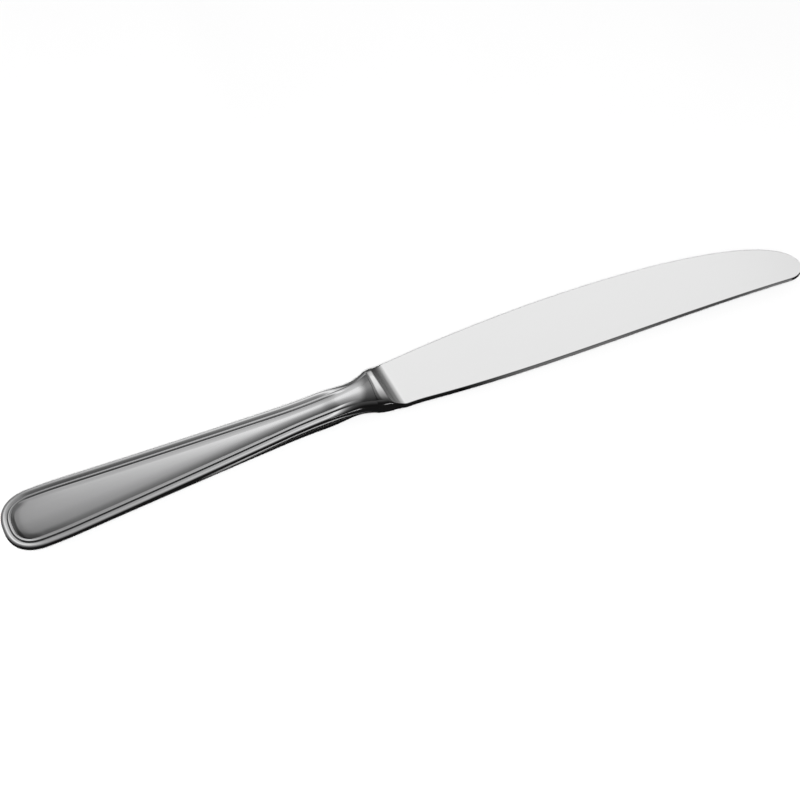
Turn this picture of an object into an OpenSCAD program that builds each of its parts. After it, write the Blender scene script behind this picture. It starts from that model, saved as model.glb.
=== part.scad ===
// Dessert knife with a hollow handle.
// The knife lies flat: blade towards +X, handle towards -X, cutting edge towards +Y, spine towards -Y.
// The origin is under the middle of the knife, on the surface that it lies on.

/* [Overall] */
// Length from the butt to the tip
overall_len = 210.5; // [195:0.5:240]

/* [Handle] */
// Length of the handle shells, from the butt to the mouth
handle_len = 97; // [91:0.5:110]
// Half of the handle's greatest width, at the butt
butt_half_w = 7.75; // [7.4:0.05:9]
// Length of the rounded butt end
butt_round_len = 9.4; // [7.5:0.1:12]
// Fullness of the rounded butt end, as the power of its curve
butt_fullness = 2.4; // [2:0.1:3]
// Length over which the sides ease from the butt into the taper
taper_ease_len = 14; // [4:1:20]
// Length over which the sides ease from the taper into the neck
neck_ease_len = 10; // [4:1:16]
// Half of the handle's width at the neck
neck_half_w = 4.05; // [3.9:0.05:4.6]
// Distance from the start of the neck to the mouth
neck_to_mouth = 14.5; // [11:0.5:17]
// Length of the flare that ends at the mouth
flare_len = 9; // [7:0.5:11]
// Half of the handle's width at the mouth
mouth_half_w = 5.5; // [5:0.1:5.6]
// Half of the neck's height
neck_half_h = 3.65; // [3.3:0.05:3.9]
// Half of the handle's height at the mouth
mouth_half_h = 4.1; // [3.9:0.05:4.25]
// Thickness of the shells' sheet
wall = 0.4; // [0.3:0.05:0.5]
// Thickness of the braze between the shells
seam_t = 0.12; // [0.06:0.02:0.3]

/* [Thread rim] */
// Distance from the edge to the crest of the outer bead
outer_crest_in = 0.9; // [0.8:0.05:1.2]
// Fullness of the side under the outer bead, as the power of its curve
side_fullness = 4; // [2:0.5:5]
// Distance from the edge to the groove between the beads
groove_in = 1.6; // [1.45:0.05:1.8]
// Distance from the edge to the panel
panel_in = 2.7; // [2.4:0.05:2.8]
// Height of the outer bead above the groove
outer_bead_h = 0.36; // [0.2:0.02:0.6]
// Height of the inner bead above the groove
inner_bead_h = 0.32; // [0.1:0.02:0.4]
// Length over which the beads fade out towards the neck
bead_fade_len = 13; // [8:1:18]
// Distance from the mouth at which the beads are gone
bead_end_to_mouth = 6.5; // [4:0.5:9]

/* [Panel] */
// Height of the groove above the middle plane at the butt
butt_floor_h = 0.65; // [0.55:0.05:1.1]
// Height of the groove above the middle plane near the neck
neck_floor_h = 2.75; // [2.5:0.05:3.1]
// Distance from the butt at which the handle starts to thicken
thicken_start = 10; // [4:1:16]
// Distance from the butt at which the handle has its full thickness
thicken_end = 88; // [84:1:94]
// Slowness of the thickening's start, as the power of its curve
thicken_power = 2; // [1.6:0.1:3]
// Rise of the panel's middle above its edge at the butt
butt_crown = 0.45; // [0.25:0.05:0.6]
// Rise of the panel's middle above its edge near the neck
neck_crown = 0.55; // [0.3:0.05:0.8]
// Flatness of the panel at the butt, as the power of its curve
butt_crown_power = 5.5; // [3:0.5:8]
// Roundness of the panel near the neck, as the power of its curve
neck_crown_power = 2; // [1.5:0.1:3]

/* [Bolster] */
// Length of the bolster's rim at the spine
rim_len = 2.9; // [2.4:0.1:4]
// Slant of the rim's front, which makes the rim shorter at the cutting edge
step_slant = 10; // [0:1:12]
// Half of the rim's width at the mouth
rim_half_w = 5.75; // [5.65:0.05:6.2]
// Half of the rim's height
rim_half_h = 4.35; // [4.25:0.05:4.8]
// Radius of the rim at the spine and at the edge
rim_end_r = 2.6; // [1.5:0.1:3.2]
// Radius of the fillet between the rim and the blade
step_fillet_r = 3.6; // [2.4:0.1:3.8]
// Length of the spigot that centres the bolster in the mouth
spigot_len = 3; // [2:0.5:4]
// Gap between the spigot and the shells
spigot_clearance = 0.2; // [0.1:0.05:0.35]

/* [Blade] */
// Thickness of the spine at the bolster
spine_root_t = 2.4; // [1.8:0.1:2.8]
// Thickness of the spine at the tip
spine_tip_t = 1.6; // [1.2:0.1:2]
// Thickness at the belly of the cutting edge
edge_t = 0.4; // [0.3:0.05:0.6]
// Distance from the handle's axis to the edge at the bolster
edge_root = 5.9; // [5.6:0.05:6.2]
// Distance from the handle's axis to the spine at the bolster
spine_root = 6.4; // [6:0.05:6.6]
// How far the spine stands out where it runs into the bolster
spine_flare = 0.35; // [0.2:0.05:0.9]
// Length over which the spine runs into the bolster
spine_flare_len = 6; // [4:0.5:12]
// Pull of the cutting edge's curve along the blade from the bolster
edge_pull_len = 46.5; // [38:0.5:58]
// Rise of the cutting edge's curve over that pull
edge_pull_rise = 3.7; // [2.5:0.1:5]
// Drop from the handle's axis to the foremost point of the tip
tip_drop = 8.9; // [6.5:0.1:9.8]
// Pull of the cutting edge's curve across the blade at the tip
tip_pull = 14; // [10:0.1:16]
// Drop from the handle's axis to the spine where the tip starts to round
spine_tip = 11.3; // [10.6:0.1:12.5]
// Length of the rounded corner between the tip and the spine
tip_round_len = 3.8; // [2:0.1:5]
// Pull of the spine's curve along the blade from the bolster
spine_root_pull_len = 36; // [28:0.5:48]
// Drop of the spine's curve over that pull
spine_root_pull_drop = 4.1; // [3:0.1:5.5]
// Pull of the spine's curve along the blade from the tip
spine_tip_pull_len = 36.5; // [25:0.5:45]
// Rise of the spine's curve over that pull
spine_tip_pull_rise = 2.5; // [1:0.1:3]

/* [Tang] */
// Length of the tang behind the spigot
tang_len = 48; // [30:1:52]
// Width of the tang at the spigot
tang_root_w = 5.2; // [4.2:0.1:5.6]
// Width of the tang at its end
tang_end_w = 3.4; // [2.5:0.1:4]
// Thickness of the tang at the spigot
tang_root_t = 3.6; // [2.4:0.1:4.2]
// Thickness of the tang at its end
tang_end_t = 1.4; // [1:0.1:1.6]
// Number of notches along each side of the tang
notch_count = 3; // [1:1:5]
// Radius of a notch
notch_r = 0.7; // [0.4:0.1:0.9]

/* [Hidden] */
$fn = 64;

// Steps of the curves and of the sections along the handle
curve_steps = 40;
butt_ray_steps = 9;
side_steps = 20;
flare_steps = 6;
rim_steps = 5;
flank_steps = 3;
bead_steps = 5;
panel_steps = 4;
inner_rim_steps = 4;
inner_panel_steps = 3;

// Places along the knife, measured from the butt
neck_x = handle_len - neck_to_mouth;
spigot_x = handle_len - spigot_len;
rim_front_x = handle_len + rim_len;
foot_x = rim_front_x + step_fillet_r;
tang_root_x = spigot_x + spigot_len / 2;
tang_end_x = spigot_x - tang_len;
bead_end_x = handle_len - bead_end_to_mouth;
bead_fade_x = bead_end_x - bead_fade_len;
spine_tip_x = overall_len - tip_round_len;

seam_half = seam_t / 2;
// Power of the sine and the cosine that draw the side's curve
side_power = 2 / side_fullness;

// Room that a cut needs beyond the material
cut_room = 5;
// Length over which the blade runs into the foot of the fillet
root_overlap = 0.2;

function mix(from, to, share) = from + (to - from) * share;
function clamp01(value) = min(1, max(0, value));
function ease(value) = let (t = clamp01(value)) t * t * (3 - 2 * t);

// Point on a cubic curve with the ends p0 and p3 and the handles p1 and p2
function cubic(p0, p1, p2, p3, t) =
    pow(1 - t, 3) * p0 + 3 * pow(1 - t, 2) * t * p1 + 3 * (1 - t) * t * t * p2 + pow(t, 3) * p3;

// Share of a straight change over a length, with a soft start and a soft end
function eased_share(run, length, start_ease, end_ease) =
    let (slope = 1 / (length - (start_ease + end_ease) / 2), left = length - run)
    run <= 0 ? 0
    : left <= 0 ? 1
    : run < start_ease ? slope * run * run / (2 * start_ease)
    : left < end_ease ? 1 - slope * left * left / (2 * end_ease)
    : slope * (run - start_ease / 2);

// Share of the way through the flare that ends at the mouth
function flare_share(x) = clamp01((x - handle_len + flare_len) / flare_len);

// Share of the handle's taper from the butt to the neck
function taper_share(x) =
    eased_share(x - butt_round_len, neck_x - butt_round_len, taper_ease_len, neck_ease_len);

// Half width of the handle's sides
function half_w(x) =
    mix(butt_half_w, neck_half_w, taper_share(x))
    + (mouth_half_w - neck_half_w) * pow(flare_share(x), 3);

// Half height of the plain neck, which flares to the mouth
function neck_h(x) = neck_half_h + (mouth_half_h - neck_half_h) * pow(flare_share(x), 3);

// Values that change along the handle
function thicken_share(x) = pow(clamp01((x - thicken_start) / (thicken_end - thicken_start)), thicken_power);
function floor_h(x) = mix(butt_floor_h, neck_floor_h, thicken_share(x));
function crown(x) = mix(butt_crown, neck_crown, taper_share(x));
function crown_power(x) = mix(butt_crown_power, neck_crown_power, taper_share(x));
function neck_share(x) = ease((x - bead_fade_x) / bead_fade_len);

// Distance from the centre of the butt to its outline, in the direction of an angle
function butt_r(angle) =
    pow(
        pow(abs(cos(angle)) / butt_round_len, butt_fullness) + pow(abs(sin(angle)) / butt_half_w, butt_fullness),
        -1 / butt_fullness
    );

// A station is [x for the heights, point on the outline, direction inwards]
function butt_station(angle) =
    let (out = [cos(angle), sin(angle)])
    [butt_round_len, [butt_round_len, 0] + butt_r(angle) * out, -out];
function side_station(x) = [x, [x, half_w(x)], [0, -1]];

cement_stations = concat(
    [for (i = [0 : butt_ray_steps - 1]) butt_station(180 - 90 * i / butt_ray_steps)],
    [for (i = [0 : side_steps]) side_station(mix(butt_round_len, spigot_x, i / side_steps))]
);
shell_stations = concat(
    cement_stations,
    [for (i = [1 : flare_steps]) side_station(mix(spigot_x, handle_len, i / flare_steps))]
);

function at_inset(station, inset) = station[1] + inset * station[2];

// Share of the way from the panel's middle to its edge
function panel_share(p) =
    let (arm = p - [butt_round_len, 0], reach = norm(arm))
    p.x >= butt_round_len ? abs(p.y) / (half_w(p.x) - panel_in)
    : reach == 0 ? 0
    : reach / (butt_r(atan2(arm.y, arm.x)) - panel_in);

function panel_rise(x, p) = crown(x) * (1 - pow(min(1, panel_share(p)), crown_power(x)));

// Height of an oval of the given half sizes above the seam
function oval_h(half_width, half_height, y) =
    seam_half + (half_height - seam_half) * sqrt(max(0, 1 - pow(y / half_width, 2)));

// One point of a shell: the height fades from the beaded section to the plain neck
function outer_point(station, p, beaded_h) =
    let (x = station[0], share = neck_share(x))
    [p.x, p.y, share == 0 ? beaded_h : mix(beaded_h, oval_h(half_w(x), neck_h(x), p.y), share)];
function inner_point(station, p, beaded_h) =
    let (x = station[0], share = neck_share(x))
    [p.x, p.y, share == 0 ? beaded_h : mix(beaded_h, oval_h(half_w(x) - wall, neck_h(x) - wall, p.y), share)];

// Outer section of a shell from its edge to the edge of the panel: rim, groove and inner bead
function outer_rim_path(station) =
    let (base = floor_h(station[0]), top = base + outer_bead_h, bead_w = panel_in - groove_in)
    concat(
        [for (i = [0 : rim_steps])
            let (angle = 90 * i / rim_steps, inset = outer_crest_in * (1 - pow(cos(angle), side_power)))
            outer_point(station, at_inset(station, inset), mix(seam_half, top, pow(sin(angle), side_power)))],
        [for (i = [1 : flank_steps])
            let (share = i / flank_steps, inset = mix(outer_crest_in, groove_in, share))
            outer_point(station, at_inset(station, inset), base + outer_bead_h * cos(90 * share))],
        [for (i = [1 : bead_steps])
            let (share = i / bead_steps, inset = groove_in + bead_w * share)
            outer_point(station, at_inset(station, inset), base + inner_bead_h * sin(180 * share))]
    );

// Inner section of a shell, one wall under the groove
function inner_rim_path(station) =
    let (top = floor_h(station[0]) - wall)
    concat(
        [for (i = [0 : inner_rim_steps])
            let (angle = 90 * i / inner_rim_steps, inset = wall + outer_crest_in * (1 - pow(cos(angle), side_power)))
            inner_point(station, at_inset(station, inset), mix(seam_half, top, pow(sin(angle), side_power)))],
        [inner_point(station, at_inset(station, panel_in), top)]
    );

// Straight rows across the panel, from its edge to the axis
function outer_panel_path(station) =
    let (edge = at_inset(station, panel_in))
    [for (i = [1 : panel_steps])
        let (p = [edge.x, edge.y * (1 - i / panel_steps)])
        outer_point(station, p, floor_h(station[0]) + panel_rise(station[0], p))];
function inner_panel_path(station) =
    let (edge = at_inset(station, panel_in))
    [for (i = [1 : inner_panel_steps])
        let (p = [edge.x, edge.y * (1 - i / inner_panel_steps)])
        inner_point(station, p, floor_h(station[0]) - wall + panel_rise(station[0], p))];

// A whole row across the handle, made of a half row that ends on the axis and its mirror image
function whole_row(half) =
    let (last = len(half) - 1)
    concat(half, [for (i = [1 : last]) [half[last - i].x, -half[last - i].y, half[last - i].z]]);
function flipped(rows) = [for (row = rows) [for (p = row) [p.x, p.y, -p.z]]];
function outer_rows(stations) = [for (s = stations) whole_row(concat(outer_rim_path(s), outer_panel_path(s)))];
function inner_rows(stations) = [for (s = stations) whole_row(concat(inner_rim_path(s), inner_panel_path(s)))];

// Index of the panel's edge in an outer and in an inner row
outer_edge_index = rim_steps + flank_steps + bead_steps;
inner_edge_index = inner_rim_steps + 1;

// Closed solid between two sets of rows across the handle. In the first row, on the axis of the butt, both
// halves fall together and the panel has no width, so its points are shared. The last row is capped.
module between_rows(upper, lower, upper_edge, lower_edge) {
    upper_count = len(upper[0]);
    lower_count = len(lower[0]);
    ring = upper_count + lower_count;
    last = len(upper) - 1;
    shared = upper_edge + lower_edge + 2;
    function folded(j, count, edge) = min(j, count - 1 - j, edge);
    function upper_id(i, j) = i == 0 ? folded(j, upper_count, upper_edge) : shared + (i - 1) * ring + j;
    function lower_id(i, j) =
        i == 0 ? upper_edge + 1 + folded(j, lower_count, lower_edge)
        : shared + (i - 1) * ring + upper_count + j;
    function ring_id(i, k) =
        let (j = k % ring)
        j < upper_count ? upper_id(i, j) : lower_id(i, ring - 1 - j);
    points = concat(
        [for (j = [0 : upper_edge]) upper[0][j]],
        [for (j = [0 : lower_edge]) lower[0][j]],
        [for (i = [1 : last]) each concat(upper[i], lower[i])]
    );
    sides = [for (i = [0 : last - 1], k = [0 : ring - 1])
        each [
            [ring_id(i, k), ring_id(i + 1, k), ring_id(i + 1, k + 1)],
            [ring_id(i, k), ring_id(i + 1, k + 1), ring_id(i, k + 1)]
        ]];
    function across(j) = round(j * (lower_count - 1) / (upper_count - 1));
    cap = [for (j = [0 : upper_count - 2])
        each [
            [upper_id(last, j + 1), upper_id(last, j), lower_id(last, across(j))],
            [upper_id(last, j + 1), lower_id(last, across(j)), lower_id(last, across(j + 1))]
        ]];
    // Faces that have no width, because two of their corners are one point, are left out
    whole_faces = [for (f = concat(sides, cap)) if (f[0] != f[1] && f[1] != f[2] && f[0] != f[2]) f];
    polyhedron(points, whole_faces);
}

// Outline of the blade, from the bolster along the cutting edge, round the tip and back along the spine
root_edge_point = [foot_x, edge_root];
root_spine_point = [foot_x, -spine_root];
tip_point = [overall_len, -tip_drop];
spine_tip_point = [spine_tip_x, -spine_tip];
spine_tip_handle = spine_tip_point + [-spine_tip_pull_len, spine_tip_pull_rise];
// Handles of the rounded corner, which goes on straight from the two curves that it joins
corner_share = 0.55;
tip_corner_handle = tip_point - [0, corner_share * (spine_tip - tip_drop)];
spine_corner_handle =
    spine_tip_point + corner_share * tip_round_len * [1, -spine_tip_pull_rise / spine_tip_pull_len];

function edge_curve(t) =
    cubic(root_edge_point, root_edge_point + [edge_pull_len, edge_pull_rise],
        tip_point + [0, tip_pull], tip_point, t);
function corner_curve(t) = cubic(tip_point, tip_corner_handle, spine_corner_handle, spine_tip_point, t);
function spine_curve(t) =
    let (p = cubic(spine_tip_point, spine_tip_handle,
        root_spine_point + [spine_root_pull_len, -spine_root_pull_drop], root_spine_point, t))
    p - [0, spine_flare * pow(1 - clamp01((p.x - foot_x) / spine_flare_len), 2)];

corner_steps = 10;
blade_outline = concat(
    [[foot_x - root_overlap, edge_root]],
    [for (i = [0 : curve_steps]) edge_curve(i / curve_steps)],
    [for (i = [1 : corner_steps]) corner_curve(i / corner_steps)],
    [for (i = [1 : curve_steps]) spine_curve(i / curve_steps)],
    [[foot_x - root_overlap, -spine_root - spine_flare]]
);

// The cheek is a plane: it goes through the spine at the bolster and at the tip, and the belly of the edge
belly_point = edge_curve(1 / 3);
tip_run = spine_tip_point - root_spine_point;
belly_run = belly_point - root_spine_point;
tip_thin = (spine_tip_t - spine_root_t) / 2;
belly_thin = (edge_t - spine_root_t) / 2;
run_cross = tip_run.x * belly_run.y - tip_run.y * belly_run.x;
cheek_slope_x = (tip_thin * belly_run.y - belly_thin * tip_run.y) / run_cross;
cheek_slope_y = (tip_run.x * belly_thin - belly_run.x * tip_thin) / run_cross;

// The knife's own box, which sets the origin
outline_y = [for (p = blade_outline) p.y];
low_y = min(-butt_half_w, min(outline_y));
high_y = max(butt_half_w, max(outline_y));

module placed() {
    translate([-overall_len / 2, -(low_y + high_y) / 2, rim_half_h]) children();
}

// Oval of four arcs: the ends have the radius end_r, and the flat arcs run into them without a corner
module oval(half_width, half_height, end_r) {
    run = half_width - end_r;
    flat_r = (run * run + half_height * half_height - end_r * end_r) / (2 * (half_height - end_r));
    meet = flat_r * run / (flat_r - end_r);
    intersection() {
        translate([0, half_height - flat_r]) circle(flat_r);
        translate([0, flat_r - half_height]) circle(flat_r);
        square([2 * meet, 2 * half_height], center = true);
    }
    for (side = [-1, 1]) translate([side * run, 0]) circle(end_r);
}

// Bar of an oval section along the knife
module oval_bar(from_x, to_x, half_width, half_height, end_r) {
    translate([from_x, 0, 0]) rotate([90, 0, 90])
        linear_extrude(to_x - from_x) oval(half_width, half_height, end_r);
}

// What is cut away over the front cheek: its lower corner is the fillet in front of the rim, which lies aslant
module over_cheek() {
    reach = overall_len - rim_front_x + cut_room;
    tall = 2 * rim_half_h;
    wide = 2 * (high_y - low_y);
    translate([foot_x, -spine_root, spine_root_t / 2])
        rotate([atan(cheek_slope_y), -atan(cheek_slope_x), 0])
        rotate([0, 0, step_slant])
        translate([-step_fillet_r, 0, 0])
        rotate([90, 0, 0])
        linear_extrude(2 * wide, center = true) {
            translate([step_fillet_r, 0]) square([reach, tall]);
            translate([0, step_fillet_r]) square([reach, tall]);
            translate([step_fillet_r, step_fillet_r]) circle(step_fillet_r);
        }
}

// One view of the tang: straight inside the spigot, and narrower from there to its end
module tang_side(root_half, end_half) {
    polygon([
        [tang_root_x, root_half], [spigot_x, root_half], [tang_end_x, end_half],
        [tang_end_x, -end_half], [spigot_x, -root_half], [tang_root_x, -root_half]
    ]);
}

// Tang: a flat bar that narrows both ways
module tang() {
    difference() {
        intersection() {
            linear_extrude(2 * rim_half_h, center = true) tang_side(tang_root_w / 2, tang_end_w / 2);
            rotate([90, 0, 0]) linear_extrude(2 * rim_half_w, center = true)
                tang_side(tang_root_t / 2, tang_end_t / 2);
        }
        for (i = [1 : notch_count], side = [-1, 1])
            let (share = i / (notch_count + 1))
            translate([mix(tang_end_x, spigot_x, share), side * mix(tang_end_w, tang_root_w, share) / 2, 0])
                cylinder(r = notch_r, h = 2 * rim_half_h, center = true);
    }
}

// Spigot: it takes its size from the shells' inside where it ends, and starts inside the rim
module spigot() {
    half_width = half_w(spigot_x) - wall - spigot_clearance;
    half_height = neck_h(spigot_x) - wall - spigot_clearance;
    oval_bar(spigot_x, handle_len + rim_len / 2, half_width, half_height, half_height / 2);
}

// Bolster before the blade is cut: an oval bar, stretched from its cutting-edge side, so that its spine side
// flares from the rim to the spine
module bolster_bar() {
    stretch = (rim_half_w + spine_root + spine_flare) / (2 * rim_half_w);
    translate([handle_len, rim_half_w, 0]) rotate([90, 0, 90])
        linear_extrude(foot_x - handle_len, scale = [stretch, 1], slices = 1)
        translate([-rim_half_w, 0]) oval(rim_half_w, rim_half_h, rim_end_r);
}

module blade() {
    color("gainsboro") placed() {
        difference() {
            union() {
                bolster_bar();
                linear_extrude(2 * rim_half_h, center = true) polygon(blade_outline);
            }
            over_cheek();
            mirror([0, 0, 1]) over_cheek();
        }
        spigot();
        tang();
    }
}

module front_handle_shell() {
    color("silver") placed()
        between_rows(outer_rows(shell_stations), inner_rows(shell_stations), outer_edge_index, inner_edge_index);
}

module back_handle_shell() {
    color("silver") placed() mirror([0, 0, 1])
        between_rows(outer_rows(shell_stations), inner_rows(shell_stations), outer_edge_index, inner_edge_index);
}

// Braze: a strip as wide as the wall, all round the edge of the handle
module seam_braze() {
    last = len(shell_stations) - 1;
    outside = [for (s = shell_stations) s[1]];
    inside = [for (s = shell_stations) at_inset(s, wall)];
    strip = concat(
        [for (i = [0 : last]) outside[last - i]],
        [for (i = [1 : last]) [outside[i].x, -outside[i].y]],
        [for (i = [0 : last - 1]) [inside[last - i].x, -inside[last - i].y]],
        inside
    );
    color("darkkhaki") placed() linear_extrude(seam_t, center = true) polygon(strip);
}

// Cement: it fills the handle from the butt to the spigot, round the tang
module handle_cement() {
    rows = inner_rows(cement_stations);
    color("gray") placed() difference() {
        between_rows(rows, flipped(rows), inner_edge_index, inner_edge_index);
        tang();
    }
}

blade();
front_handle_shell();
back_handle_shell();
seam_braze();
handle_cement();
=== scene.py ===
import math

import bmesh
import bpy
from mathutils import Matrix, Vector


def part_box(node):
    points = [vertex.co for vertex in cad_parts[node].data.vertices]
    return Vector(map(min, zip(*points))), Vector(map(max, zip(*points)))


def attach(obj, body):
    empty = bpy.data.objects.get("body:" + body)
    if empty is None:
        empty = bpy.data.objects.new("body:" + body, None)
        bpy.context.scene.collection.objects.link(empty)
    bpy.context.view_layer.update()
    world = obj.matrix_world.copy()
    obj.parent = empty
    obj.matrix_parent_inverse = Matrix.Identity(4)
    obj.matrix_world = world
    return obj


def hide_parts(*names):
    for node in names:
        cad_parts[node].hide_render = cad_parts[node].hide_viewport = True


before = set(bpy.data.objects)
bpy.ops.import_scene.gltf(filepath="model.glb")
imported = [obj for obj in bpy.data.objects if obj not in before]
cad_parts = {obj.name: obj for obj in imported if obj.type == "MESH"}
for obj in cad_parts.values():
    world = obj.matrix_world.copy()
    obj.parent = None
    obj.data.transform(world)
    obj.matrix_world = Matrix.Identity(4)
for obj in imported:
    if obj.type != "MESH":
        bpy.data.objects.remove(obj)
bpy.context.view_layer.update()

bl_info = {
    "name": "Dessert knife",
    "version": (1, 0, 0),
    "blender": (4, 5, 0),
    "location": "3D View > Sidebar > Knife",
    "description": "Models a hollow-handled dessert knife and its studio",
    "category": "Object",
}

MM = 0.001
MERGE_DISTANCE = 0.0005 * MM
QUARTER = math.pi / 2

# How often each search for a place on a curve is narrowed down
HALVINGS = 60
FOOT_ROUNDS = 8
FRONT_ROUNDS = 16

# Where the blade's mesh has its columns
SIDE_ANGLE = math.radians(20)
CORNER_ANGLE = math.radians(22)
SIDE_SHARES = (0.25, 0.5, 0.75, 1)
CORNER_SHARES = (0.33, 0.67, 1)
CHEEK_BORDER = 0.004
CHEEK_MARGIN = 0.02

# Largest corner of the blade, as parts of its width and of its half thickness
CORNER_OF_WIDTH = 0.3
CORNER_OF_HEIGHT = 0.45

# Sockets of a colour Mix node
MIX_FIRST = 6
MIX_SECOND = 7
MIX_RESULT = 2

# Range in which nearly all of a noise lies
NOISE_LOW = 0.3
NOISE_HIGH = 0.7

# Steel: how its lines and smears are drawn out along each axis, and what they change
LINE_STRETCH = (60, 5200, 5200)
LINE_DETAIL = 4
LINE_BUMP = 0.05
LINE_DEPTH = 0.01 * MM
SMEAR_STRETCH = (55, 130, 130)
SMEAR_DETAIL = 3
SMEAR_WEAR = 0.6
SMEAR_TONE = 0.012

# Grainy materials: what their grain changes
GRAIN_DETAIL = 6
GRAIN_TONE = 0.12
GRAIN_SHINE = 0.85
GRAIN_BUMP = 0.3
GRAIN_DEPTH = 0.05 * MM

# Greys of the cards, each a place in metres from the frame's origin and a part of the card's strength
OVERHEAD_ALONG = (
    (-1.2, 0.05), (-0.55, 0.1), (-0.36, 0.27), (-0.2, 0.27), (-0.12, 0.28), (-0.1, 0.3), (-0.083, 0.37),
    (-0.068, 0.46), (-0.048, 0.56), (-0.037, 0.64), (-0.028, 0.71), (-0.017, 0.86), (0, 0.93),
    (0.11, 0.98), (0.31, 0.98), (0.39, 0.8), (0.57, 0.62), (0.81, 0.5), (1.2, 0.42),
)
OVERHEAD_ACROSS = (
    (-0.75, 0.06), (-0.42, 0.16), (-0.19, 0.31), (0, 0.46), (0.09, 0.59), (0.165, 0.71), (0.26, 0.87),
    (0.4, 0.94), (0.55, 0.93), (0.75, 0.85),
)
FRONT_RISE = ((0.2, 0.1), (0.5, 0.7), (0.72, 1))
BACK_ALONG = ((-1.2, 0.1), (-0.16, 0.25), (0, 0.8), (0.1, 1), (0.35, 0.8), (0.7, 0.4), (1.2, 0.25))
BACK_RISE = ((0, 0.4), (0.3, 0.78), (0.72, 0.95))
RIGHT_RISE = ((0, 0.2), (0.72, 0.36))
FAR_FLOOR_ALONG = (
    (-1.2, 0.25), (-0.09, 0.28), (-0.06, 0.5), (-0.02, 0.45), (-0.012, 0.08), (0.03, 0.12), (1.2, 0.2),
)

# Floor cards: where the near one meets the far one, and how high they and the strips lie over the floor
FLOOR_SPLIT = 2 * MM
FLOOR_LIFT = 0.2 * MM
STRIP_LIFT = 0.3 * MM

# Greys of the strips, each a place from -1 to 1 along the strip and a part of its strength
SOFT_ENDS = ((-1, 0), (-0.4, 1), (0.6, 1), (1, 0))
SPINE_ALONG = (
    (-1, 0), (-0.87, 0.2), (-0.73, 0.57), (-0.6, 0.86), (-0.33, 1), (-0.07, 0.97), (0.07, 0.77),
    (0.2, 0.6), (0.33, 0.5), (0.6, 0.48), (0.73, 0.68), (0.87, 1.14), (1, 1.14),
)

# Strips: name, middle, half length and half width in millimetres, strength and greys
STRIPS = (
    ("handle_strip", (-33, -5.05), (23, 0.2), (0, 0.4), 0.6, SOFT_ENDS),
    ("neck_strip", (-5, -65), (11, 0), (0, 25), 0.9, SOFT_ENDS),
    ("spine_strip", (57.75, -9.2), (45, -1.35), (0, 3.2), 0.175, SPINE_ALONG),
)


def size(name, millimetres, description):
    """Property for a length, given in millimetres and kept in metres."""
    return bpy.props.FloatProperty(
        name=name, description=description, default=millimetres * MM, unit="LENGTH", precision=5
    )


def factor(name, value, description):
    """Property for a number without a unit."""
    return bpy.props.FloatProperty(name=name, description=description, default=value)


def turn_of(name, degrees, description):
    """Property for an angle, given in degrees and kept in radians."""
    return bpy.props.FloatProperty(
        name=name, description=description, default=math.radians(degrees), subtype="ANGLE"
    )


def optic(name, millimetres, description):
    """Property for a length inside the camera, kept in millimetres."""
    return bpy.props.FloatProperty(name=name, description=description, default=millimetres, unit="CAMERA")


def count(name, value, description):
    """Property for a number of steps in a mesh."""
    return bpy.props.IntProperty(name=name, description=description, default=value, min=1)


def tint(name, value, description):
    """Property for a linear colour."""
    return bpy.props.FloatVectorProperty(
        name=name, description=description, default=value, size=3, subtype="COLOR", min=0, max=1
    )


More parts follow.
